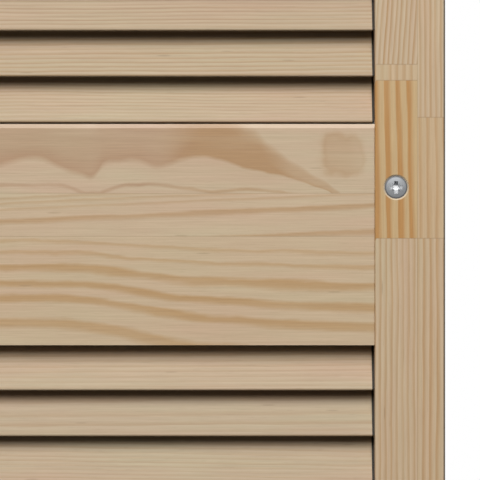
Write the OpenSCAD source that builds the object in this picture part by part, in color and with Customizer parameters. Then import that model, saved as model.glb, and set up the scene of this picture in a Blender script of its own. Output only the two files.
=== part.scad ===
// Pair of louvred pine cabinet doors hung on a slim face frame.
// Millimetres, +Z up, doors facing -Y. The origin is the centre of the back of the frame.

/* [Doors] */
// width of one door
door_w = 394; // [300:1:460]
// thickness of a door
door_t = 21; // [20:0.5:24]
// gap between the two doors where they meet
meet_gap = 3; // [2:0.5:6]
// width of a door stile
stile_w = 40; // [36:1:60]
// height of the broad middle rail
mid_rail_h = 125.6; // [100:0.1:160]
// height of the top rail and of the bottom rail
end_rail_h = 62; // [50:0.5:80]
// rounding along the stiles
stile_edge_r = 1; // [0.5:0.1:1.8]
// height of the bevel along the upper edges of the rails
rail_bevel_h = 2.4; // [1:0.1:4]
// depth of the bevel along the upper edges of the rails
rail_bevel_d = 1.2; // [0.5:0.1:2]
// bevel at the ends of a rail, where it meets the stile
rail_end_bevel = 0.5; // [0.2:0.1:0.8]

/* [Tenon joints] */
// length of the rail tenons
tenon_l = 24; // [16:1:28]
// thickness of the rail tenons
tenon_t = 7; // [5:0.5:8]
// shoulder between a tenon and the slat side of its rail
tenon_shoulder = 8; // [7:0.5:12]
// shoulder between a tenon and the outer edge of its rail
tenon_haunch = 14; // [10:0.5:18]
// play all round a tenon or a slat
joint_clear = 0.2; // [0.1:0.05:0.3]

/* [Slats] */
// slats in each of the two fields of a door
slat_count = 7; // [4:1:7]
// height from one slat to the next
slat_pitch = 26.1; // [24:0.1:27]
// height of a slat as it stands in the door
slat_h = 28.5; // [27.5:0.5:30]
// thickness of a slat
slat_t = 6; // [5:0.5:7]
// lean of the slats from upright, in degrees
slat_lean = 23; // [20:1:25]
// rounding of the slat edges
slat_edge_r = 1; // [0.6:0.1:2]
// gap between a slat shoulder and the stile
slat_end_gap = 1.4; // [0.5:0.1:1.8]
// gap between the lowest slat of the upper field and the middle rail
upper_slat_lift = 0.9; // [0.3:0.1:1.5]
// gap between the lowest slat of the lower field and the bottom rail
lower_slat_lift = 0.3; // [0.3:0.1:1.5]
// length of the stub tenon on a slat
slat_tenon_l = 7; // [5:0.5:9]
// thickness of the stub tenon on a slat
slat_tenon_t = 3; // [2:0.5:3.5]
// how far the stub tenon sits towards the back of its slat
slat_tenon_back = 0.9; // [0:0.1:0.9]
// edge of a slat that is cut away above and below its stub tenon
slat_tenon_cut = 0.7; // [0.5:0.1:3]
// depth of the tongue of the lowest slat of a field in the rail under it
slat_tongue = 2; // [1:0.5:3]
// thickness of that tongue
slat_tongue_t = 2; // [1.5:0.5:3]

/* [Rail screws] */
// distance of a rail screw from the shoulder of the middle rail
rail_screw_in = 12.1; // [10:0.1:14]
// distance of a rail screw below the top of the middle rail
rail_screw_drop = 36; // [20:1:60]
// shank radius of a rail screw
rail_screw_r = 2.8; // [2:0.1:3]
// head radius of a rail screw
rail_screw_head_r = 6.4; // [5:0.1:6.5]
// length of a rail screw below the rim of its head
rail_screw_l = 16; // [14:0.5:17]
// height of the domed top of a rail screw
rail_screw_dome = 0.9; // [0.4:0.1:1.2]
// depth of the head rim below the face of the door
rail_screw_sink = 0.8; // [0.4:0.1:1]

/* [Face frame] */
// thickness of the face frame
frame_t = 20; // [18:0.5:25]
// width of a frame stile
frame_stile_w = 40; // [36:1:60]
// height of a frame rail
frame_rail_h = 45; // [36:1:60]
// distance of the carcass dowel holes from the middle of a frame rail
dowel_x = 300; // [150:1:320]
// radius of a carcass dowel hole
dowel_r = 4; // [3:0.5:5]
// depth of a carcass dowel hole
dowel_depth = 12; // [8:0.5:14]
// radius of a stop bumper
bumper_r = 5; // [3:0.5:8]
// play between a stop bumper and the closed door
bumper_clear = 0.3; // [0.2:0.05:0.5]

/* [Hinges] */
// height of a hinge
hinge_h = 50; // [40:1:70]
// distance of the hinge centres from the door ends
hinge_from_end = 100; // [80:1:120]
// gap between the closed leaves, and so between door and frame
leaf_gap = 3; // [2.6:0.1:4]
// thickness of a hinge leaf
leaf_t = 1.5; // [1.2:0.1:2]
// width of a hinge leaf from the pin axis
leaf_w = 25; // [22:0.5:30]
// knuckles of one hinge, shared by its two leaves
knuckle_count = 5; // [3:2:7]
// play between neighbouring knuckles
knuckle_gap = 0.6; // [0.4:0.1:1]
// play between the knuckles and the edges of the wood
knuckle_clear = 0.5; // [0.4:0.1:1]
// radius of a hinge pin
pin_r = 1.5; // [1.2:0.1:1.7]
// running play between a pin and the knuckles
pin_clear = 0.05; // [0.02:0.01:0.1]
// shank radius of a hinge screw
hinge_screw_r = 1.7; // [1.4:0.1:2]
// length of a hinge screw
hinge_screw_l = 14; // [10:0.5:15]

/* [Hidden] */
$fn = 64;

pine = [0.75, 0.65, 0.53];
pale_pine = [0.76, 0.67, 0.56];
steel = [0.66, 0.67, 0.69];
rubber = [0.80, 0.80, 0.78];

// sizes that follow from the ones above
door_h = 2 * end_rail_h + mid_rail_h + 2 * slat_count * slat_pitch;
pair_w = 2 * door_w + meet_gap;
door_x = (door_w + meet_gap) / 2;
door_y = -frame_t - leaf_gap - door_t / 2;
rail_l = door_w - 2 * stile_w;
// height and depth of the upper edges of a rail: beside slats, and along the door's own edge
slat_side_edge = [rail_bevel_h, rail_bevel_d];
outer_edge = [stile_edge_r, stile_edge_r];
stile_x = (door_w - stile_w) / 2;
end_rail_z = (door_h - end_rail_h) / 2;
rail_screw_x = rail_l / 2 + rail_screw_in;
rail_screw_z = mid_rail_h / 2 - rail_screw_drop;
frame_rail_l = pair_w - 2 * frame_stile_w;
frame_stile_x = (pair_w - frame_stile_w) / 2;
frame_rail_z = (door_h - frame_rail_h) / 2;
bumper_x = (meet_gap + stile_w) / 2;

// the knuckles stand a little proud of the leaves they are rolled from
knuckle_proud = 0.1;
knuckle_r = leaf_gap / 2 + leaf_t + knuckle_proud;
knuckle_pitch = hinge_h / knuckle_count;
pin_head_lip = 1;
pin_head_r = pin_r + pin_head_lip;
pin_head_h = 1.6;
hinge_x = pair_w / 2 + knuckle_clear + knuckle_r;
hinge_y = -frame_t - leaf_gap / 2;
hinge_z = door_h / 2 - hinge_from_end;
// width of the part of a leaf that lies on wood
leaf_seat = leaf_w - knuckle_r - knuckle_clear;
leaf_play = 0.1;
// the three screws of a leaf, staggered across its seat
hinge_screw_rise = 0.36 * hinge_h;
hinge_screw_stagger = 3;
hinge_screw_head_r = hinge_screw_r + leaf_t;
screw_clear = 0.1;
// how far a cutting shape reaches past the face it cuts
past = 1;

// cross recess of a screw, as shares of its head radius
recess_span_share = 1.1;
recess_foot_share = 0.45;
recess_wing_share = 0.34;
recess_depth_share = 0.45;

SIDES = [["left", -1], ["right", 1]];
LEVELS = [["lower", -1], ["upper", 1]];

function slat_name(side, field, i) = str("door_", side, "_", field, "_slat_", i);
function hinge_name(side, level, piece) = str("hinge_", side, "_", level, "_", piece);

// height of the middle of slat i, counted from the bottom of its field
function slat_z(field, i) =
    (field < 0 ? end_rail_h - door_h / 2 : mid_rail_h / 2)
    + slat_lift(field) + slat_h / 2 + (i - 1) * slat_pitch;
function slat_lift(field) = field < 0 ? lower_slat_lift : upper_slat_lift;

// sections are drawn with depth along X and height along Y, then run along the row
module along_x(l) {
    rotate([90, 0, 90])
        linear_extrude(height = l, center = true)
            children();
}

module eased_section(w, d, r) {
    square([w - 2 * r, d], center = true);
    square([w, d - 2 * r], center = true);
    for (sx = [-1, 1], sy = [-1, 1])
        translate([sx * (w / 2 - r), sy * (d / 2 - r)])
            circle(r = r);
}

// upper edges bevelled, lower edges crisp
module rail_section(h, edge) {
    polygon([
        [-door_t / 2, -h / 2],
        [door_t / 2, -h / 2],
        [door_t / 2, h / 2 - edge[0]],
        [door_t / 2 - edge[1], h / 2],
        [edge[1] - door_t / 2, h / 2],
        [-door_t / 2, h / 2 - edge[0]]
    ]);
}

// a leaning strip with level upper and lower edges
module leaning_section(h, t, back) {
    half = t / 2 / cos(slat_lean);
    reach = h / 2 * tan(slat_lean);
    shift = back / cos(slat_lean);
    polygon([
        [shift - reach - half, -h / 2],
        [shift - reach + half, -h / 2],
        [shift + reach + half, h / 2],
        [shift + reach - half, h / 2]
    ]);
}

// the same strip with its four edges rounded: circles joined by the outline through their tangent points
module slat_section() {
    r = slat_edge_r;
    half = (slat_t / 2 - r) / cos(slat_lean);
    rise = slat_h / 2 - r;
    reach = rise * tan(slat_lean);
    out = [r * cos(slat_lean), -r * sin(slat_lean)];
    polygon([
        [-reach - half, -rise - r],
        [-reach + half, -rise - r],
        [-reach + half, -rise] + out,
        [reach + half, rise] + out,
        [reach + half, rise + r],
        [reach - half, rise + r],
        [reach - half, rise] - out,
        [-reach - half, -rise] - out
    ]);
    for (level = [-1, 1], face = [-1, 1])
        translate([level * reach + face * half, level * rise])
            circle(r = r);
}

// tongue along the lower edge of the lowest slat of a field
module tongue_section(field, play) {
    low = -slat_h / 2 - slat_lift(field) - slat_tongue - play;
    high = slat_tenon_cut - slat_h / 2;
    middle = (low + high) / 2;
    translate([middle * tan(slat_lean), middle])
        leaning_section(
            high - low,
            slat_tongue_t + 2 * play,
            slat_tenon_back + (slat_tenon_t - slat_tongue_t) / 2
        );
}

// a screw pointing down, its rim at height zero
module screw(shank_r, head_r, l, dome) {
    ball_r = dome > 0 ? (head_r * head_r + dome * dome) / (2 * dome) : 0;
    cap = dome > 0 ? asin(head_r / ball_r) : 0;
    steps = 8;
    top = dome > 0
        ? [for (i = [0 : steps]) [ball_r * sin(cap * i / steps), ball_r * (cos(cap * i / steps) - 1) + dome]]
        : [[0, 0], [head_r, 0]];
    wide = recess_span_share * head_r / 2;
    foot = recess_foot_share * head_r / 2;
    deep = recess_depth_share * head_r;
    difference() {
        rotate_extrude()
            polygon(concat(top, [
                [shank_r, shank_r - head_r],
                [shank_r, shank_r - l],
                [0, -l]
            ]));
        for (turn = [0, 90])
            rotate([90, 0, turn])
                linear_extrude(height = recess_wing_share * head_r, center = true)
                    polygon([
                        [-wide, dome + past],
                        [-wide, 0],
                        [-foot, -deep],
                        [foot, -deep],
                        [wide, 0],
                        [wide, dome + past]
                    ]);
    }
}

// the hole for that screw: a cone for the head and a bore for the shank
module screw_hole(shank_r, head_r, l, sink) {
    mouth = head_r + sink + screw_clear;
    bore = shank_r + screw_clear;
    translate([0, 0, sink + bore - mouth])
        cylinder(r1 = bore, r2 = mouth, h = mouth - bore);
    translate([0, 0, -l - screw_clear])
        cylinder(r = bore, h = l + sink + screw_clear);
    translate([0, 0, sink])
        cylinder(r = mouth, h = past);
}

module place_door(side) {
    translate([side * door_x, door_y, 0])
        mirror([side < 0 ? 1 : 0, 0, 0])
            children();
}

module place_hinge(side, level) {
    translate([side * hinge_x, hinge_y, level * hinge_z])
        mirror([side < 0 ? 1 : 0, 0, 0])
            children();
}

// seats of the three screws of a leaf, from the pin axis
module leaf_screw_places() {
    for (i = [-1 : 1])
        translate([
            -knuckle_r - knuckle_clear - leaf_seat / 2 + (abs(i) * 2 - 1) * hinge_screw_stagger,
            0,
            i * hinge_screw_rise
        ])
            children();
}

// face is +1 for the frame leaf and -1 for the door leaf
module leaf_screw_turn(face) {
    translate([0, face * leaf_gap / 2, 0])
        rotate([face * 90, 0, 0])
            children();
}

// recess for a leaf and its screws in the wood
module leaf_recess(face) {
    translate([
        -leaf_w - leaf_play,
        face > 0 ? 0 : -leaf_gap / 2 - leaf_t,
        -hinge_h / 2 - leaf_play
    ])
        cube([leaf_w, leaf_gap / 2 + leaf_t, hinge_h + 2 * leaf_play]);
    leaf_screw_places()
        leaf_screw_turn(face)
            screw_hole(hinge_screw_r, hinge_screw_head_r, hinge_screw_l, 0);
}

module hinge_leaf(face) {
    own = face > 0 ? 0 : 1;
    color(steel)
        difference() {
            union() {
                translate([-leaf_w, face > 0 ? leaf_gap / 2 : -leaf_gap / 2 - leaf_t, -hinge_h / 2])
                    cube([leaf_w, leaf_t, hinge_h]);
                for (k = [own : 2 : knuckle_count - 1])
                    translate([0, 0, k * knuckle_pitch + knuckle_gap / 2 - hinge_h / 2])
                        cylinder(r = knuckle_r, h = knuckle_pitch - knuckle_gap);
            }
            for (k = [1 - own : 2 : knuckle_count - 1])
                translate([
                    -knuckle_r - knuckle_clear,
                    -2 * knuckle_r,
                    k * knuckle_pitch - knuckle_gap / 2 - hinge_h / 2
                ])
                    cube([4 * knuckle_r, 4 * knuckle_r, knuckle_pitch + knuckle_gap]);
            cylinder(r = pin_r + pin_clear, h = hinge_h + 2 * past, center = true);
            leaf_screw_places()
                leaf_screw_turn(face)
                    screw_hole(hinge_screw_r, hinge_screw_head_r, hinge_screw_l, 0);
        }
}

module hinge_pin() {
    seat = (hinge_h - knuckle_gap) / 2;
    color(steel) {
        translate([0, 0, -seat])
            cylinder(r = pin_r, h = 2 * seat + pin_head_h / 2);
        translate([0, 0, seat])
            cylinder(r1 = pin_head_r, r2 = pin_r, h = pin_head_h);
    }
}

module hinge_screws(face) {
    leaf_screw_places()
        leaf_screw_turn(face)
            screw(hinge_screw_r, hinge_screw_head_r, hinge_screw_l, 0);
}

module frame_hinge_screws() {
    color(steel)
        for (s = SIDES, f = LEVELS)
            place_hinge(s[1], f[1])
                hinge_screws(1);
}

module door_hinge_screws(side) {
    color(steel)
        for (f = LEVELS)
            place_hinge(side, f[1])
                hinge_screws(-1);
}

module frame_bumpers() {
    color(rubber)
        for (sx = [-1, 1], sz = [-1, 1])
            translate([sx * bumper_x, -frame_t, sz * frame_rail_z])
                rotate([90, 0, 0])
                    cylinder(r1 = bumper_r, r2 = 0.85 * bumper_r, h = leaf_gap - bumper_clear);
}

module frame_stile(side) {
    mortise_h = frame_rail_h - tenon_shoulder - tenon_haunch + 2 * joint_clear;
    mortise_t = tenon_t + 2 * joint_clear;
    color(pine)
        difference() {
            translate([side * frame_stile_x, -frame_t / 2, 0])
                linear_extrude(height = door_h, center = true)
                    eased_section(frame_stile_w, frame_t, stile_edge_r);
            for (level = [-1, 1])
                translate([
                    side * (frame_rail_l / 2 + (tenon_l + joint_clear - past) / 2),
                    -frame_t / 2,
                    level * (frame_rail_z + (tenon_shoulder - tenon_haunch) / 2)
                ])
                    cube([tenon_l + joint_clear + past, mortise_t, mortise_h], center = true);
            for (level = [-1, 1])
                place_hinge(side, level)
                    leaf_recess(1);
        }
}

module frame_rail(level) {
    tenon_h = frame_rail_h - tenon_shoulder - tenon_haunch;
    color(pine)
        difference() {
            union() {
                translate([0, -frame_t / 2, level * frame_rail_z])
                    along_x(frame_rail_l)
                        eased_section(frame_t, frame_rail_h, stile_edge_r);
                translate([0, -frame_t / 2, level * (frame_rail_z + (tenon_shoulder - tenon_haunch) / 2)])
                    cube([frame_rail_l + 2 * tenon_l, tenon_t, tenon_h], center = true);
            }
            for (sx = [-1, 1])
                translate([sx * dowel_x, 0, level * frame_rail_z])
                    rotate([90, 0, 0])
                        translate([0, 0, -past])
                            cylinder(r = dowel_r, h = dowel_depth + past);
        }
}

// room in a stile for one rail tenon, from its lower to its upper edge
module rail_mortise(low, high) {
    translate([-past, -tenon_t / 2 - joint_clear, low - joint_clear])
        cube([tenon_l + joint_clear + past, tenon_t + 2 * joint_clear, high - low + 2 * joint_clear]);
}

// slanted housing in a stile for the stub tenon of one slat
module slat_housing() {
    l = slat_tenon_l + slat_end_gap + joint_clear + past;
    translate([l / 2 - past, 0, 0])
        along_x(l)
            leaning_section(
                slat_h - 2 * slat_tenon_cut + 2 * joint_clear,
                slat_tenon_t + 2 * joint_clear,
                slat_tenon_back
            );
}

// a stile in the place of the hinge stile of the right door, inner face towards -X
module plain_stile() {
    difference() {
        translate([stile_x, 0, 0])
            linear_extrude(height = door_h, center = true)
                eased_section(stile_w, door_t, stile_edge_r);
        translate([rail_l / 2, 0, 0]) {
            rail_mortise(tenon_haunch - door_h / 2, end_rail_h - tenon_shoulder - door_h / 2);
            rail_mortise(tenon_shoulder - mid_rail_h / 2, mid_rail_h / 2 - tenon_shoulder);
            rail_mortise(door_h / 2 - end_rail_h + tenon_shoulder, door_h / 2 - tenon_haunch);
            for (f = LEVELS, i = [1 : slat_count])
                translate([0, 0, slat_z(f[1], i)])
                    slat_housing();
        }
        rail_screw_place()
            screw_hole(rail_screw_r, rail_screw_head_r, rail_screw_l, rail_screw_sink);
    }
}

module rail_screw_place() {
    translate([rail_screw_x, rail_screw_sink - door_t / 2, rail_screw_z])
        rotate([90, 0, 0])
            children();
}

module hinge_stile(side) {
    color(pine)
        difference() {
            place_door(side)
                plain_stile();
            for (f = LEVELS)
                place_hinge(side, f[1])
                    leaf_recess(-1);
        }
}

module meeting_stile(side) {
    color(pine)
        place_door(side)
            mirror([1, 0, 0])
                plain_stile();
}

// a door rail: low and high are the shoulders under and over its tenons, edge is its upper edge,
// below and above are the slat fields that end on it, zero where there is none
module door_rail(side, z, h, low, high, edge, below, above, screwed) {
    bevel = rail_end_bevel * sqrt(2);
    color(pine)
        place_door(side)
            difference() {
                translate([0, 0, z]) {
                    along_x(rail_l)
                        rail_section(h, edge);
                    translate([0, 0, (low - high) / 2])
                        cube([rail_l + 2 * tenon_l, tenon_t, h - low - high], center = true);
                }
                for (sx = [-1, 1], sy = [-1, 1])
                    translate([sx * rail_l / 2, sy * door_t / 2, z])
                        rotate(45)
                            cube([bevel, bevel, h + 2 * past], center = true);
                if (below != 0)
                    translate([0, 0, slat_z(below, slat_count)])
                        along_x(rail_l + 2 * past)
                            leaning_section(slat_h + 2 * joint_clear, slat_t + 2 * joint_clear, 0);
                if (above != 0)
                    translate([0, 0, slat_z(above, 1)])
                        along_x(rail_l + 2 * past)
                            tongue_section(above, joint_clear);
                if (screwed)
                    for (turn = [0, 1])
                        mirror([turn, 0, 0])
                            rail_screw_place()
                                screw_hole(rail_screw_r, rail_screw_head_r, rail_screw_l, rail_screw_sink);
            }
}

module top_rail(side) {
    door_rail(side, end_rail_z, end_rail_h, tenon_shoulder, tenon_haunch, outer_edge, 1, 0, false);
}

module mid_rail(side) {
    door_rail(side, 0, mid_rail_h, tenon_shoulder, tenon_shoulder, slat_side_edge, -1, 1, true);
}

module bottom_rail(side) {
    door_rail(side, -end_rail_z, end_rail_h, tenon_haunch, tenon_shoulder, slat_side_edge, 0, -1, false);
}

module slat(side, field, i) {
    color(pale_pine)
        place_door(side)
            translate([0, 0, slat_z(field, i)]) {
                along_x(rail_l - 2 * slat_end_gap)
                    slat_section();
                along_x(rail_l + 2 * slat_tenon_l)
                    leaning_section(slat_h - 2 * slat_tenon_cut, slat_tenon_t, slat_tenon_back);
                if (i == 1)
                    along_x(rail_l - 2 * joint_clear)
                        tongue_section(field, 0);
            }
}

module rail_screws(side) {
    color(steel)
        place_door(side)
            for (turn = [0, 1])
                mirror([turn, 0, 0])
                    rail_screw_place()
                        screw(rail_screw_r, rail_screw_head_r, rail_screw_l, rail_screw_dome);
}

frame_stile(-1);  // frame_stile_left
frame_stile(1);  // frame_stile_right
frame_rail(1);  // frame_rail_top
frame_rail(-1);  // frame_rail_bottom
frame_hinge_screws();
frame_bumpers();

for (s = SIDES) {
    hinge_stile(s[1]);
    meeting_stile(s[1]);
    top_rail(s[1]);
    mid_rail(s[1]);
    bottom_rail(s[1]);
    rail_screws(s[1]);
    door_hinge_screws(s[1]);
    for (f = LEVELS) {
        for (i = [1 : slat_count])
            slat(s[1], f[1], i);
        place_hinge(s[1], f[1]) hinge_leaf(1);
        place_hinge(s[1], f[1]) hinge_leaf(-1);
        place_hinge(s[1], f[1]) hinge_pin();
    }
}
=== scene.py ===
import math
import random

import bmesh
import bpy
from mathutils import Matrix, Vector


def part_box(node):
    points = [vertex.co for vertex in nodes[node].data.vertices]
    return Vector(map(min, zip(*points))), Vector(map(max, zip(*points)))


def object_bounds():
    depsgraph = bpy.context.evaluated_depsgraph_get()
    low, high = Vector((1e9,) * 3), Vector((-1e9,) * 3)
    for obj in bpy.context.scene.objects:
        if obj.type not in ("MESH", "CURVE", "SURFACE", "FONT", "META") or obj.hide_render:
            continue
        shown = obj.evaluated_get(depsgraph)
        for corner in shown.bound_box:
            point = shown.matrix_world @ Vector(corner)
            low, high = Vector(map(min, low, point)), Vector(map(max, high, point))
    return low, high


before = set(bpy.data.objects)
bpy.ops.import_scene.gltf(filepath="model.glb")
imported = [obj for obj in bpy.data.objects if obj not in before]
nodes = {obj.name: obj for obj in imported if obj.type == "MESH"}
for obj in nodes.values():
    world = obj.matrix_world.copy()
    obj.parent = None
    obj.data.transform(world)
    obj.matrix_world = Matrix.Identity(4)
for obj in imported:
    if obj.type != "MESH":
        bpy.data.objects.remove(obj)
cad_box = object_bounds()

MM = 0.001
# millimetres in a pixel of the view, the row at height 0 and the column of the door's outer edge
PIXEL = 0.5677
ZERO_ROW = 234.25
EDGE_COLUMN = 445.3
EDGE_X = 395.5
VIEW_PIXELS = 480
VIEW_ROW = 239.7


def box_mm(node):
    low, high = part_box(node)
    return low / MM, high / MM


def srgb(r, g, b):
    def lin(c):
        c /= 255
        return c / 12.92 if c <= 0.04045 else ((c + 0.055) / 1.055) ** 2.4
    return (lin(r), lin(g), lin(b), 1.0)


class Tree:
    """Short calls for building a shader node tree."""

    def __init__(self, tree):
        self.tree = tree

    def add(self, kind, **settings):
        node = self.tree.nodes.new(kind)
        for key, value in settings.items():
            setattr(node, key, value)
        return node

    def put(self, value, socket):
        if isinstance(value, bpy.types.NodeSocket):
            self.tree.links.new(value, socket)
        else:
            socket.default_value = value

    def math(self, operation, a, b=0.0, c=0.0, clamp=False):
        node = self.add("ShaderNodeMath", operation=operation, use_clamp=clamp)
        for value, socket in zip((a, b, c), node.inputs):
            self.put(value, socket)
        return node.outputs[0]

    def minus(self, a, b):
        return self.math("SUBTRACT", a, b)

    def sum(self, *terms):
        total = terms[0]
        for term in terms[1:]:
            total = self.math("ADD", total, term)
        return total

    def times(self, *factors):
        total = factors[0]
        for factor in factors[1:]:
            total = self.math("MULTIPLY", total, factor)
        return total

    def length(self, a, b):
        return self.math("SQRT", self.sum(self.times(a, a), self.times(b, b)))

    def top(self, *values):
        """The largest of some values."""
        best = values[0]
        for value in values[1:]:
            best = self.math("MAXIMUM", best, value)
        return best

    def place_mm(self):
        """Place on the object, in millimetres."""
        metres = self.add("ShaderNodeTexCoord").outputs["Object"]
        return [self.math("DIVIDE", c, MM) for c in self.split(metres)]

    def seen(self):
        """1 for what is seen, also in a reflection; 0 for the light that it sends on."""
        path = self.add("ShaderNodeLightPath").outputs
        return self.top(path["Is Camera Ray"], path["Is Glossy Ray"], path["Is Transmission Ray"])

    def point(self, x, y, z):
        node = self.add("ShaderNodeCombineXYZ")
        for value, socket in zip((x, y, z), node.inputs):
            self.put(value, socket)
        return node.outputs[0]

    def split(self, vector):
        node = self.add("ShaderNodeSeparateXYZ")
        self.put(vector, node.inputs[0])
        return node.outputs

    def noise(self, x, y, z, detail=2.0, roughness=0.5):
        """Noise round zero."""
        node = self.add("ShaderNodeTexNoise")
        self.put(self.point(x, y, z), node.inputs["Vector"])
        node.inputs["Scale"].default_value = 1.0
        node.inputs["Detail"].default_value = detail
        node.inputs["Roughness"].default_value = roughness
        return self.minus(node.outputs["Fac"], 0.5)

    def ramp(self, value, stops, interpolation="LINEAR"):
        node = self.add("ShaderNodeValToRGB")
        ramp = node.color_ramp
        ramp.interpolation = interpolation
        while len(ramp.elements) < len(stops):
            ramp.elements.new(1.0)
        for element, (place, colour) in zip(ramp.elements, stops):
            element.position = place
            element.color = colour if isinstance(colour, tuple) else (colour, colour, colour, 1)
        self.put(value, node.inputs[0])
        return node.outputs["Color"]

    def mix(self, share, a, b, blend="MIX"):
        node = self.add("ShaderNodeMix", data_type="RGBA", blend_type=blend)
        self.put(share, node.inputs[0])
        self.put(a, node.inputs[6])
        self.put(b, node.inputs[7])
        return node.outputs[2]

    def choose(self, flag, a, b):
        """Vector a where flag is 0, b where it is 1."""
        node = self.add("ShaderNodeMix", data_type="VECTOR")
        self.put(flag, node.inputs[0])
        self.put(a, node.inputs[4])
        self.put(b, node.inputs[5])
        return node.outputs[1]

    def span(self, value, start, end):
        """0 before start, 1 after end, smooth between."""
        node = self.add("ShaderNodeMapRange", interpolation_type="SMOOTHSTEP")
        for item, socket in zip((value, start, end), node.inputs):
            self.put(item, socket)
        return node.outputs[0]


def new_group(name, inputs, outputs):
    tree = bpy.data.node_groups.new(name, "ShaderNodeTree")
    for way, sockets in (("INPUT", inputs), ("OUTPUT", outputs)):
        for socket, kind in sockets:
            tree.interface.new_socket(socket, in_out=way, socket_type="NodeSocket" + kind)
    t = Tree(tree)
    return tree, t, t.add("NodeGroupInput").outputs, t.add("NodeGroupOutput").inputs


def field_of(t, point, seed):
    """Noise that is stretched along the grain, different for each seed."""
    along, across, deep = t.split(point)

    def field(a, w, d, shift, detail=2.0, roughness=0.5):
        return t.noise(
            t.math("MULTIPLY_ADD", along, a, t.times(seed, 17.3 + shift)),
            t.math("MULTIPLY_ADD", across, w, t.times(seed, 9.1 + 2 * shift)),
            t.math("MULTIPLY_ADD", deep, d, shift), detail, roughness)
    return field


def rings_group():
    """Growth rings round a pith line, as the share of late wood.
    Point is in millimetres: along the grain, across the board, into its depth."""
    tree, t, given, result = new_group(
        "pine_rings",
        [("Point", "Vector")] + [(name, "Float") for name in
                                 ("Seed", "Ring", "Across", "Depth", "Slope", "Wave", "Contrast")],
        [("Late", "Float")])
    along, across, deep = t.split(given["Point"])
    field = field_of(t, given["Point"], given["Seed"])
    bend = t.times(given["Wave"], t.sum(t.times(field(0.008, 0.03, 0.03, 0.7), 3.2),
                                        t.times(field(0.03, 0.10, 0.10, 4.1), 0.9)))
    tilt = t.times(along, given["Slope"])
    w = t.sum(t.minus(t.minus(across, given["Across"]), tilt), bend)
    d = t.math("MULTIPLY_ADD", bend, 0.7, t.sum(deep, given["Depth"]))
    radius = t.length(w, d)
    drift = t.times(field(0.02, 0.35, 0.35, 8.3), 0.35)
    phase = t.sum(t.math("DIVIDE", radius, given["Ring"]), drift)
    late = t.ramp(t.math("FRACT", phase), [(0.0, 0.35), (0.06, 0.04), (0.40, 0.10), (0.62, 0.55),
                                           (0.84, 1.0), (0.95, 0.9), (1.0, 0.35)])
    year = t.add("ShaderNodeTexWhiteNoise", noise_dimensions="1D")
    t.put(t.sum(t.math("FLOOR", phase), t.times(given["Seed"], 31.7)), year.inputs["W"])
    strength = t.math("MULTIPLY_ADD", year.outputs["Value"], 0.6, 0.6)
    t.put(t.times(late, strength, given["Contrast"]), result["Late"])
    return tree


def finish_group():
    """Colour and relief of pine from its share of late wood: fibres, streaks, resin canals and flecks."""
    tree, t, given, result = new_group(
        "pine_finish",
        [("Point", "Vector")] + [(name, "Float") for name in ("Seed", "Late", "Honey", "Blush", "Tone")],
        [("Color", "Color"), ("Height", "Float")])
    along, across, deep = t.split(given["Point"])
    seed = given["Seed"]
    field = field_of(t, given["Point"], seed)
    streak = field(0.022, 1.1, 1.1, 2.2, 3.0, 0.6)
    fibre = field(0.07, 3.4, 3.4, 5.9, 2.0, 0.6)
    patch = t.math("MULTIPLY_ADD", field(0.010, 0.07, 0.07, 11.0), 2.2, 0.5, clamp=True)
    canal = t.span(field(0.10, 2.6, 2.6, 14.0, 1.0), 0.15, 0.25)

    cells = t.add("ShaderNodeTexVoronoi")
    t.put(t.point(t.math("MULTIPLY_ADD", along, 0.028, seed),
                  t.math("MULTIPLY_ADD", across, 0.26, t.times(seed, 7.0)),
                  t.times(deep, 0.26)), cells.inputs["Vector"])
    cells.inputs["Scale"].default_value = 1.0
    chance = t.split(cells.outputs["Color"])[0]
    fleck = t.times(t.minus(1.0, t.span(cells.outputs["Distance"], 0.06, 0.15)),
                    t.math("GREATER_THAN", chance, 0.80))

    honey = given["Honey"]
    pale = t.mix(patch, srgb(204, 175, 147), srgb(201, 183, 151))
    pale = t.mix(honey, pale, srgb(202, 173, 127))
    dark = t.mix(given["Blush"], srgb(183, 147, 100), srgb(174, 136, 103))
    dark = t.mix(honey, dark, srgb(186, 136, 76))
    fading = t.math("MULTIPLY_ADD", field(0.012, 0.12, 0.12, 19.0), 0.9, 1.0)
    share = t.times(t.math("MINIMUM", given["Late"], 1.0), t.math("MINIMUM", fading, 1.0))
    colour = t.mix(share, pale, dark)
    # darker streaks are also warmer
    tone = t.sum(1.0, t.times(streak, 0.30), t.times(fibre, 0.16),
                 t.times(canal, -0.09), t.times(fleck, -0.16))
    warm = t.point(tone, t.math("POWER", tone, 1.12), t.math("POWER", tone, 1.3))
    colour = t.mix(1.0, colour, warm, "MULTIPLY")
    colour = t.mix(1.0, colour, t.point(given["Tone"], given["Tone"], given["Tone"]), "MULTIPLY")
    t.put(colour, result["Color"])
    t.put(t.sum(t.times(given["Late"], 0.5), t.times(streak, 0.5), t.times(fibre, 0.6)), result["Height"])
    return tree


RINGS = rings_group()
FINISH = finish_group()
FRONT_Y = box_mm("door_right_mid_rail")[0].y
# finger joint: pitch and length of its teeth, half the width of its seam, half the width of a glue line
FINGER = 3.8
FINGER_L = 9.0
SEAM = 0.3
GLUE = 0.22
# rail screw: radius and rise of its head, radius of its seat in the wood
HEAD_R = (box_mm("door_right_rail_screws")[1].z - box_mm("door_right_rail_screws")[0].z) / 2
HEAD_DOME = 0.9
SEAT_R = HEAD_R + 1.2
# width of the painted shade on the front corner of the stile's outer edge
ARRIS = 1.0
# roughness of the wood, and its gloss on rails and stiles and on the slats
WOOD_ROUGH = 0.34
WOOD_GLOSS = 0.5
SLAT_GLOSS = 0.15


def use(t, group, **values):
    node = t.add("ShaderNodeGroup", node_tree=group)
    for key, value in values.items():
        t.put(value, node.inputs[key])
    return node.outputs


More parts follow.
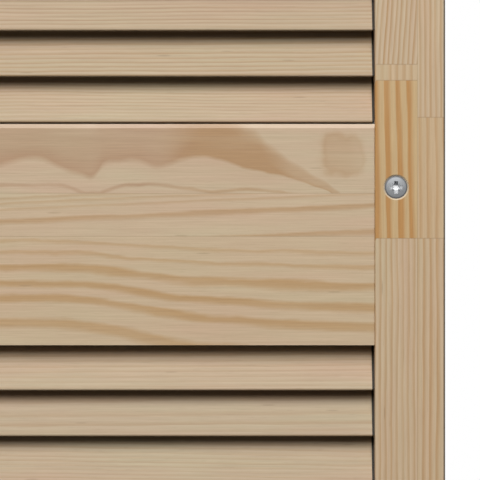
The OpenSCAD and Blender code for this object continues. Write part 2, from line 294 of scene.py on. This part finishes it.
def start_wood(name, grain):
    """A new material with its place in millimetres: along the grain, across the board, into its depth."""
    material = bpy.data.materials.new(name)
    material.use_nodes = True
    t = Tree(material.node_tree)
    x, y, z = t.place_mm()
    deep = t.minus(y, FRONT_Y)
    return (material, t, x, z, deep) if grain == "x" else (material, t, z, x, deep)


def end_wood(material, t, colour, height, gloss=WOOD_GLOSS):
    shader = material.node_tree.nodes["Principled BSDF"]
    t.put(colour, shader.inputs["Base Color"])
    bump = t.add("ShaderNodeBump")
    bump.inputs["Strength"].default_value = 0.25
    bump.inputs["Distance"].default_value = 0.0002
    t.put(height, bump.inputs["Height"])
    t.put(bump.outputs["Normal"], shader.inputs["Normal"])
    t.put(t.math("MULTIPLY_ADD", height, -0.08, WOOD_ROUGH), shader.inputs["Roughness"])
    shader.inputs["Specular IOR Level"].default_value = gloss


def block(start, seed, ring=3.6, across=70.0, contrast=0.6, honey=0.1, depth=20.0, slope=0.0, blush=0.3):
    return dict(start=start, seed=seed, ring=ring, across=across, contrast=contrast, honey=honey,
                depth=depth, slope=slope, blush=blush)


PACKS = (("seed", "ring", "across"), ("contrast", "honey", "depth"), ("slope", "blush", "start"))


def join_strips(t, parts, across):
    """Colour and relief of strips that are glued edge to edge, each as (upper edge, colour, height)."""
    edge, colour, height = parts[0]
    for upper, part, lift in parts[1:]:
        beyond = t.math("GREATER_THAN", across, edge)
        colour = t.mix(beyond, colour, part)
        height = t.sum(t.times(beyond, lift), t.times(t.minus(1.0, beyond), height))
        glue = t.math("LESS_THAN", t.math("ABSOLUTE", t.minus(across, edge)), GLUE)
        colour = t.mix(t.times(glue, 0.22), colour, srgb(120, 88, 52))
        edge = upper
    return colour, height


def wood_material(name, grain, strips, wave=1.0, shade=None, gloss=WOOD_GLOSS, screw=None, arris=None):
    """Glued-up pine. strips run along the grain, from the lowest one across the board, each as
    (upper edge, blocks); blocks are set end to end with finger joints. shade gives the tone at a
    place, with any painted shade, screw the place of a screw whose seat is painted pale as a
    painted highlight, arris the edge whose front corner is painted dark as painted shade."""
    material, t, along, across, deep = start_wood(name, grain)
    # finger joints: straight lines on the faces, interlocking teeth on the edges
    tooth = t.times(t.math("PINGPONG", deep, FINGER / 2), FINGER_L / (FINGER / 2))
    place = t.sum(along, tooth)
    point = t.point(along, across, deep)
    parts = []
    for upper, blocks in strips:
        packs = [tuple(blocks[0][key] for key in pack) for pack in PACKS]
        seam = None
        for b in blocks[1:]:
            flag = t.math("GREATER_THAN", place, b["start"])
            packs = [t.choose(flag, before, tuple(b[key] for key in pack))
                     for before, pack in zip(packs, PACKS)]
            line = t.math("LESS_THAN", t.math("ABSOLUTE", t.minus(place, b["start"])), SEAM)
            seam = line if seam is None else t.top(seam, line)
        if seam is None:
            values = {key: blocks[0][key] for pack in PACKS for key in pack}
        else:
            values = {key: socket for pack, vector in zip(PACKS, packs)
                      for key, socket in zip(pack, t.split(vector))}
        late = use(t, RINGS, Point=point, Seed=values["seed"], Ring=values["ring"],
                   Across=values["across"], Depth=values["depth"], Slope=values["slope"], Wave=wave,
                   Contrast=values["contrast"])["Late"]
        part, lift = use(t, FINISH, Point=point, Seed=values["seed"], Late=late, Honey=values["honey"],
                         Blush=values["blush"], Tone=shade(t, along, across, deep) if shade else 1.0)
        if seam is not None:
            part = t.mix(t.times(seam, 0.25), part, srgb(120, 85, 50))
        parts.append((upper, part, lift))
    colour, height = join_strips(t, parts, across)
    if arris:
        # painted shade: the rounded outer corner, turned away from the light, is painted dark
        painted_edge_shade = t.times(t.math("GREATER_THAN", across, arris - ARRIS), t.math("LESS_THAN", deep, ARRIS))
        colour = t.mix(t.times(painted_edge_shade, 0.9), colour, srgb(78, 64, 46))
    if screw:
        dx, dz = t.minus(across, screw[0]), t.minus(along, screw[1])
        near = t.math("LESS_THAN", t.sum(t.times(dx, dx), t.times(dz, dz)), SEAT_R ** 2)
        # painted highlight: the seat round the screw head is painted pale, standing in for its lit lower
        # side
        painted_seat_highlight = t.times(near, t.span(deep, 0.02, 0.1), t.math("LESS_THAN", deep, SEAT_R))
        colour = t.mix(t.times(painted_seat_highlight, 0.8), colour, srgb(222, 204, 176))
    end_wood(material, t, colour, height, gloss)
    return material


def dress(node, material):
    for slot in nodes[node].material_slots:
        slot.material = material


def z_of(row):
    """Height of a pixel row of the view on the face of the door, in millimetres."""
    return (ZERO_ROW - row) * PIXEL


rng = random.Random(11)


def some_blocks(low, high, shortest, longest, honey_share, ring=(2.6, 4.2), contrast=(0.5, 0.85)):
    blocks, at = [], low
    while at < high:
        warm = rng.random() < honey_share
        blocks.append(block(at, rng.uniform(0, 10), rng.uniform(*ring) * (1.5 if warm else 1.0),
                            rng.choice((-1, 1)) * rng.uniform(35, 110),
                            rng.uniform(*contrast) + (0.3 if warm else 0),
                            rng.uniform(0.6, 0.9) if warm else rng.uniform(0.0, 0.25), rng.uniform(8, 35),
                            rng.uniform(-0.01, 0.01), rng.random()))
        at += rng.uniform(shortest, longest)
        if high - at < shortest / 2:
            break
    return blocks


def screw_of(node):
    """Middle of the rail screw that sits in a stile."""
    low, high = box_mm(node)
    door = box_mm(node.rsplit("_", 2)[0] + "_rail_screws")
    ends = [door[0].x + HEAD_R, door[1].x - HEAD_R]
    return min(ends, key=lambda x: abs(x - (low.x + high.x) / 2)), (door[0].z + door[1].z) / 2


def stile_material(node, share=0.6, honey=0.15):
    low, high = box_mm(node)
    split = low.x + share * (high.x - low.x)
    strips = [(split, some_blocks(low.z, high.z, 110, 240, honey)),
              (high.x, some_blocks(low.z, high.z, 110, 240, honey))]
    screw = screw_of(node) if node.startswith("door") else None
    dress(node, wood_material(node + "_pine", "z", strips, screw=screw))


def rail_material(node, cuts, slope, wave=2.2):
    low, high = box_mm(node)
    strips = []
    for upper in list(cuts) + [high.z]:
        across = low.z + rng.uniform(-0.5, 1.5) * (high.z - low.z)
        board = block(low.x, rng.uniform(0, 10), rng.uniform(4.2, 6.5), across, rng.uniform(0.7, 1.0),
                      rng.uniform(0.05, 0.3), rng.uniform(25, 50), slope, rng.random())
        strips.append((upper, [board]))
    dress(node, wood_material(node + "_pine", "x", strips, wave))


# slats: mean tone
SLAT_TONE = 0.855
# share of the tone that painted shade takes, on a slat and on its tenons, and the length of a tenon
PAINTED_SHADE = 0.62
TENON_PAINTED_SHADE = 0.93
SLAT_END = 8.3
# height of a whole slat and its lean, in depth for height
SLAT_H = box_mm("door_right_upper_slat_2")[1].z - box_mm("door_right_upper_slat_2")[0].z
SLAT_LEAN = math.tan(math.radians(23))
SLATS = 7


def slat_material(node):
    """One length of pine, with painted shade where the next slat overlaps it, along its hidden lower
    edge and on its tenons."""
    low, high = box_mm(node)
    bottom = high.z - SLAT_H
    middle = (low.y + high.y) / 2 - FRONT_Y
    tone = SLAT_TONE * rng.uniform(0.95, 1.03)

    def shade(t, along, across, deep):
        rise = t.minus(across, bottom)
        behind = t.minus(t.minus(deep, middle), t.times(t.minus(rise, SLAT_H / 2), SLAT_LEAN))
        # painted shade: darker where the next slat overlaps, under the lower edge, low on the back and on
        # the tenons, where the gaps lie in shade
        front = t.times(t.math("LESS_THAN", behind, -1.0), t.span(rise, 17.6, 25.6))
        under = t.times(t.math("GREATER_THAN", behind, -2.4), t.minus(1.0, t.span(rise, 0.3, 1.6)))
        back = t.times(t.math("GREATER_THAN", behind, 1.0), t.minus(1.0, t.span(rise, 1.0, 6.0)))
        painted_shade = t.top(front, under, back)
        from_middle = t.math("ABSOLUTE", t.minus(along, (low.x + high.x) / 2))
        tenon = t.math("GREATER_THAN", from_middle, (high.x - low.x) / 2 - SLAT_END)
        return t.times(t.math("MULTIPLY_ADD", painted_shade, -PAINTED_SHADE * tone, tone),
                       t.math("MULTIPLY_ADD", tenon, -TENON_PAINTED_SHADE, 1.0))

    wood = [block(low.x, rng.uniform(0, 10), rng.uniform(1.4, 2.6),
                  rng.choice((-1, 1)) * rng.uniform(35, 110) + low.z,
                  rng.uniform(0.25, 0.7), rng.uniform(0.0, 0.1), rng.uniform(8, 35),
                  rng.uniform(-0.012, 0.012), rng.random())]
    dress(node, wood_material(node + "_pine", "x", [(high.z, wood)], 0.8, shade, SLAT_GLOSS))


for side in ("left", "right"):
    stile_material(f"frame_stile_{side}", 0.45, 0.1)
    stile_material(f"door_{side}_meeting_stile", 0.4)
    for level in ("lower", "upper"):
        for i in range(1, SLATS + 1):
            slat_material(f"door_{side}_{level}_slat_{i}")
    for rail in ("top_rail", "bottom_rail"):
        low, high = box_mm(f"door_{side}_{rail}")
        rail_material(f"door_{side}_{rail}", [low.z + rng.uniform(0.35, 0.65) * (high.z - low.z)],
                      rng.uniform(-0.05, 0.05))
for end in ("top", "bottom"):
    rail_material(f"frame_rail_{end}", [box_mm(f"frame_rail_{end}")[0].z + 21], 0.02)
stile_material("door_left_hinge_stile", 0.4)

# the stile beside the middle rail: a short pale block and a long honey block under it
low, high = box_mm("door_right_hinge_stile")
STRIP_X = 379.7
inner = [
    block(low.z, 3.1, 3.4, 290.0, 0.6, 0.12, 12),
    block(-190, 5.7, 3.1, 268.35, 0.7, 0.12, 18),
    block(z_of(238), 7.7, 6.4, 438.75, 1.6, 0.95, 4, -0.016),
    block(z_of(80), 1.2, 4.0, 310.0, 0.6, 0.35, 12),
    block(z_of(64), 6.6, 2.7, 440.0, 0.95, 0.05, 10, 0.06),
    block(230, 4.4, 4.0, 290.0, 0.6, 0.2, 14),
]
outer = [
    block(low.z, 7.3, 3.8, 320.0, 0.6, 0.15, 22),
    block(-140, 2.1, 3.8, 480.0, 0.75, 0.2, 15),
    block(z_of(238), 9.3, 4.54, 439.84, 0.75, 0.5, 4, -0.01),
    block(z_of(117), 3.9, 2.9, 455.0, 0.7, 0.18, 12),
    block(210, 5.2, 4.2, 300.0, 0.6, 0.1, 24),
]
dress("door_right_hinge_stile",
      wood_material("door_right_hinge_stile_pine", "z", [(STRIP_X, inner), (high.x, outer)],
                    screw=screw_of("door_right_hinge_stile"), arris=high.x))


def band_stops(bands, low, high):
    """Ramp stops for growth bands, each as (middle, width, strength): the lower edge is the softer one."""
    stops = []
    for middle, width, strength in bands:
        for place, value in ((middle - width / 2 - 0.6, 0.0), (middle - width / 4, strength),
                             (middle + width / 5, 0.85 * strength), (middle + width / 2 + 1.0, 0.0)):
            stops.append(((place - low) / (high - low), value))
    return stops


# largest depth and fading that the curves of the figure can take
FIGURE_H = 64.0
FADE_TOP = 4.0


def figured_rail(node):
    """A middle rail of three boards: a broad cathedral figure on top, then a band that climbs and
    bands that sink along the rail."""
    material, t, x, across, deep = start_wood(node + "_pine", "x")
    top = box_mm(node)[1].z
    cut_1, cut_2 = z_of(193), z_of(236)
    point = t.point(x, across, deep)
    ripple = t.sum(t.times(t.noise(t.times(x, 0.035), t.times(across, 0.09), t.times(deep, 0.09)), 2.4),
                   t.times(t.noise(t.times(x, 0.14), t.times(across, 0.2), t.times(deep, 0.2)), 0.9))

    # upper board: late wood above a wavy edge, a thin line under it and a round patch
    sway = t.times(t.noise(t.times(x, 0.018), t.times(across, 0.2), t.times(deep, 0.2)), 3.6)
    q = t.sum(t.minus(top, across), t.times(deep, 0.8), ripple)
    # along the rail: lower edge of the late wood, thin line, how fast the late wood fades
    edge_line = (
        (41, 27, 36, .45), (80, 22, 34, .45), (110, 28, 38, .45), (140, 24, 35, .45), (163, 19, 35, .45),
        (178, 25, 35, .45), (190, 29, 39, .45), (196, 29.7, 39.5, .45), (201, 23, 39, .45),
        (212, 21, 35, .45), (222, 21, 34, .45), (232, 24.5, 34, .45), (243, 21.5, 36, .45),
        (253, 18.4, 37, .45), (264, 18.7, 38.5, .5), (279, 24, 37, .6), (292, 27, 37.5, .8),
        (305, 30, 39, 1.3), (318, 34, 42, 2.2), (330, 38.5, 46, 3.2), (338, 46, 50, 3.6), (356, 58, 58, 4.0))
    first, last = edge_line[0][0], edge_line[-1][0]
    stops = [((at - first) / (last - first), (edge / FIGURE_H, thin / FIGURE_H, fade / FADE_TOP, 1))
             for at, edge, thin, fade in edge_line]
    curves = t.ramp(t.math("DIVIDE", t.minus(x, first), last - first), stops, "CARDINAL")
    edge_q, line_q, spread = t.split(curves)
    above = t.times(t.minus(t.times(edge_q, FIGURE_H), q), t.times(spread, FADE_TOP))
    brown = t.ramp(t.math("DIVIDE", t.sum(above, 4.0), 24.0),
                   [(0.0, 0.04), (0.13, 0.08), (0.20, 0.80), (0.25, 0.72),
                    (0.36, 0.60), (0.58, 0.56), (0.68, 0.44), (0.84, 0.04)])
    deeper = t.times(t.span(x, 232.0, 262.0), t.minus(1.0, t.span(x, 290.0, 312.0)))
    brown = t.times(brown, t.math("MULTIPLY_ADD", deeper, 0.75, 1.0))
    line = t.minus(1.0, t.span(t.math("ABSOLUTE", t.minus(t.times(line_q, FIGURE_H), q)), 0.1, 1.9))
    line = t.times(line, t.sum(t.noise(t.times(x, 0.03), 2.2, 0.6), 0.54))
    side, rise = (t.math("POWER", t.math("ABSOLUTE", t.math("DIVIDE", t.minus(a, middle), half)), 3.0)
                  for a, middle, half in ((x, 337.0, 12.5), (q, 17.5, 11.5)))
    out = t.math("POWER", t.sum(side, rise), 1 / 3)
    ragged = t.noise(t.times(x, 0.07), t.times(q, 0.07), 4.7, 2.0)
    patch = t.ramp(t.math("DIVIDE", t.sum(out, t.times(ripple, 0.10), t.times(ragged, 1.1)), 1.6),
                   [(0.0, 0.42), (0.42, 0.47), (0.56, 0.60), (0.70, 0.15), (0.85, 0.0)])
    patch = t.times(patch, t.math("MULTIPLY_ADD", t.span(x, 338.0, 351.0), -0.4, 1.0))
    late = t.top(brown, line, patch)
    blush = t.math("MULTIPLY_ADD", t.span(x, 225.0, 262.0), -0.5, 1.0)
    parts = [use(t, FINISH, Point=point, Seed=1.8, Late=late, Honey=0.0, Blush=blush, Tone=1.0)]

    # middle board
    v = t.sum(t.minus(cut_1, across), t.times(t.minus(x, 162.6), 0.043),
              t.times(deep, 0.9), t.times(ripple, 0.6), t.times(sway, 0.5))
    late = t.ramp(t.math("DIVIDE", t.sum(v, 8.0), 60.0),
                  band_stops(((-4, 0.8, 0.35), (2.3, 0.8, 0.4), (4.9, 0.9, 0.45), (8.4, 0.9, 0.4),
                              (15.3, 2.8, 0.75), (30, 3, 0.7), (41, 2, 0.5)), -8, 52))
    parts.append(use(t, FINISH, Point=point, Seed=7.1, Late=late, Honey=0.08, Blush=0.35, Tone=1.0))

    # lower board
    sink = t.sum(t.times(t.span(x, 176.0, 262.0), 0.65), t.times(t.span(x, 235.0, 345.0), 0.35))
    fall = t.sum(t.minus(cut_2, across), t.times(deep, 0.8), ripple, sway, t.times(sink, -5.6))
    v = t.math("DIVIDE", fall, t.math("MULTIPLY_ADD", sink, 0.3, 1.0))
    late = t.ramp(t.math("DIVIDE", t.sum(v, 8.0), 92.0),
                  band_stops(((2.9, 1.2, 0.5), (9.3, 1.6, 0.6), (17.7, 4.2, 0.85), (26.8, 4.0, 0.9),
                              (35.2, 4.2, 0.85), (49.4, 6.5, 0.8), (69, 4, 0.7)), -8, 84))
    parts.append(use(t, FINISH, Point=point, Seed=3.6, Late=late, Honey=0.15, Blush=0.0, Tone=1.0))

    uppers = (cut_2, cut_1, top)
    strips = [(upper, part["Color"], part["Height"]) for upper, part in zip(uppers, reversed(parts))]
    end_wood(material, t, *join_strips(t, strips, across))
    dress(node, material)


figured_rail("door_right_mid_rail")
rail_material("door_left_mid_rail", [-22, 18], 0.04)


def metal_material(name, colour, roughness):
    material = bpy.data.materials.new(name)
    material.use_nodes = True
    t = Tree(material.node_tree)
    shader = material.node_tree.nodes["Principled BSDF"]
    x, y, z = t.place_mm()
    cloud = t.noise(t.times(x, 0.35), t.times(y, 0.35), t.times(z, 0.35), 3.0)
    grain = t.noise(t.times(x, 5.0), t.times(y, 5.0), t.times(z, 1.2), 2.0)
    dull = tuple(0.78 * c for c in colour[:3]) + (1,)
    t.put(t.mix(t.sum(cloud, 0.5), colour, dull), shader.inputs["Base Color"])
    t.put(t.math("MULTIPLY_ADD", grain, 0.18, roughness), shader.inputs["Roughness"])
    shader.inputs["Metallic"].default_value = 1.0
    bump = t.add("ShaderNodeBump")
    bump.inputs["Strength"].default_value = 0.12
    bump.inputs["Distance"].default_value = 0.0001
    t.put(grain, bump.inputs["Height"])
    t.put(bump.outputs["Normal"], shader.inputs["Normal"])
    return material


def rail_screw_material(node):
    """Dull grey zinc, a cross recess with a painted highlight below and painted shade above, short marks
    between its wings and a dark rim of painted shade.
    """
    material = metal_material(node + "_zinc", srgb(134, 136, 138), 0.58)
    t = Tree(material.node_tree)
    shader = material.node_tree.nodes["Principled BSDF"]
    dull = shader.inputs["Base Color"].links[0].from_socket
    x, y, z = t.place_mm()
    low, high = box_mm(node)
    middle = (low.x + high.x) / 2
    reach = (high.x - low.x) / 2 - HEAD_R
    dx = t.minus(t.math("ABSOLUTE", t.minus(x, middle)), reach)
    dz = t.minus(z, (low.z + high.z) / 2)
    r = t.length(dx, dz)
    sunk = t.minus(t.minus(y, low.y), t.times(r, r, HEAD_DOME / HEAD_R ** 2))
    recess = t.times(t.span(sunk, 0.08, 0.2), t.math("LESS_THAN", r, 0.6 * HEAD_R))
    slant = t.math("ABSOLUTE", t.minus(t.math("ABSOLUTE", dx), t.math("ABSOLUTE", dz)))
    mark = t.times(t.minus(1.0, t.span(slant, 0.12, 0.35)), t.span(r, 1.7, 2.0),
                   t.minus(1.0, t.span(r, 3.0, 3.4)))
    # painted shade: a dark ring near the rim of the domed head
    rim = t.span(r, 0.84 * HEAD_R, 0.95 * HEAD_R)
    # painted highlight low in the cross recess and painted shade high in it, as light from above would fall
    painted_recess_shade = t.span(dz, 0.5, 2.0)
    colour = t.mix(t.times(mark, 0.7), dull, srgb(60, 62, 66))
    colour = t.mix(t.times(rim, 0.7), colour, srgb(66, 66, 70))
    painted_recess_light = t.mix(painted_recess_shade, srgb(226, 227, 228), srgb(100, 102, 105))
    t.put(t.mix(recess, colour, painted_recess_light), shader.inputs["Base Color"])
    dress(node, material)


zinc = metal_material("zinc_steel", srgb(170, 174, 180), 0.38)
hinge_steel = metal_material("hinge_steel", srgb(186, 188, 192), 0.42)
for name in nodes:
    if name.endswith("_rail_screws"):
        rail_screw_material(name)
    elif name.endswith("_screws"):
        dress(name, zinc)
    elif name.startswith("hinge_"):
        dress(name, hinge_steel)

rubber = bpy.data.materials.new("bumper_rubber")
rubber.use_nodes = True
t = Tree(rubber.node_tree)
shader = rubber.node_tree.nodes["Principled BSDF"]
speck = t.sum(t.noise(*t.place_mm(), 3.0), 0.5)
t.put(t.mix(speck, srgb(196, 196, 190), srgb(214, 214, 208)), shader.inputs["Base Color"])
shader.inputs["Roughness"].default_value = 0.55
dress("frame_bumpers", rubber)

# camera: square to the doors, on the middle rail and the outer stile of the right door
WIDTH = VIEW_PIXELS * PIXEL * MM
DISTANCE = 1.6
SENSOR = 36.0
camera_data = bpy.data.cameras.new("camera")
camera_data.sensor_width = SENSOR
camera_data.lens = SENSOR * DISTANCE / WIDTH
camera_data.clip_end = 50.0
camera = bpy.data.objects.new("camera", camera_data)
camera_x = EDGE_X - (EDGE_COLUMN - VIEW_PIXELS / 2) * PIXEL
camera.location = (camera_x * MM, FRONT_Y * MM - DISTANCE, z_of(VIEW_ROW) * MM)
camera.rotation_euler = (math.radians(90), 0, 0)
bpy.context.scene.collection.objects.link(camera)
bpy.context.scene.camera = camera

# floor: a pale disc that turns white towards its rim, just under the doors
FLOOR_R = 1.7
FLOOR_GAP = 0.0005
floor_mesh = bpy.data.meshes.new("floor")
bm = bmesh.new()
bmesh.ops.create_circle(bm, cap_ends=True, radius=FLOOR_R, segments=96)
bm.to_mesh(floor_mesh)
bm.free()
floor = bpy.data.objects.new("floor", floor_mesh)
floor.location = (0, 0, cad_box[0][2] - FLOOR_GAP)
bpy.context.scene.collection.objects.link(floor)
floor_material = bpy.data.materials.new("floor")
floor_material.use_nodes = True
t = Tree(floor_material.node_tree)
shader = floor_material.node_tree.nodes["Principled BSDF"]
shader.inputs["Roughness"].default_value = 0.9
shown = t.seen()
t.put(t.mix(shown, (0.10, 0.10, 0.10, 1), (0.82, 0.82, 0.82, 1)), shader.inputs["Base Color"])
x, y, z = t.split(t.add("ShaderNodeTexCoord").outputs["Object"])
rim = t.span(t.length(x, y), 0.8, 1.6)
white = t.add("ShaderNodeEmission")
t.put(shown, white.inputs["Strength"])
blend = t.add("ShaderNodeMixShader")
t.put(rim, blend.inputs[0])
t.put(shader.outputs[0], blend.inputs[1])
t.put(white.outputs[0], blend.inputs[2])
t.put(blend.outputs[0], floor_material.node_tree.nodes["Material Output"].inputs["Surface"])
floor_mesh.materials.append(floor_material)


def soft_light(name, azimuth, elevation, distance, size, power):
    """A softbox round the doors; azimuth 0 is in front of them, 90 on their right."""
    data = bpy.data.lights.new(name, "AREA")
    data.shape = "RECTANGLE"
    data.size, data.size_y = size
    data.energy = power
    lamp = bpy.data.objects.new(name, data)
    a, e = math.radians(azimuth), math.radians(elevation)
    place = distance * Vector((math.sin(a) * math.cos(e), -math.cos(a) * math.cos(e), math.sin(e)))
    lamp.location = place
    lamp.rotation_euler = (-place).to_track_quat("-Z", "Y").to_euler()
    bpy.context.scene.collection.objects.link(lamp)


soft_light("key", 0, 38.5, 4.2, (3.55, 3.3), 208)
soft_light("back_left", -145, 30, 3.6, (3.0, 3.0), 50)
soft_light("back_right", 145, 30, 3.6, (3.0, 3.0), 50)

world = bpy.data.worlds.new("studio")
bpy.context.scene.world = world
world.use_nodes = True
t = Tree(world.node_tree)
background = world.node_tree.nodes["Background"]
shown = t.seen()
background.inputs["Color"].default_value = (1, 1, 1, 1)
t.put(t.math("MULTIPLY_ADD", shown, 0.95, 0.05), background.inputs["Strength"])

bpy.context.scene.view_settings.view_transform = "Standard"
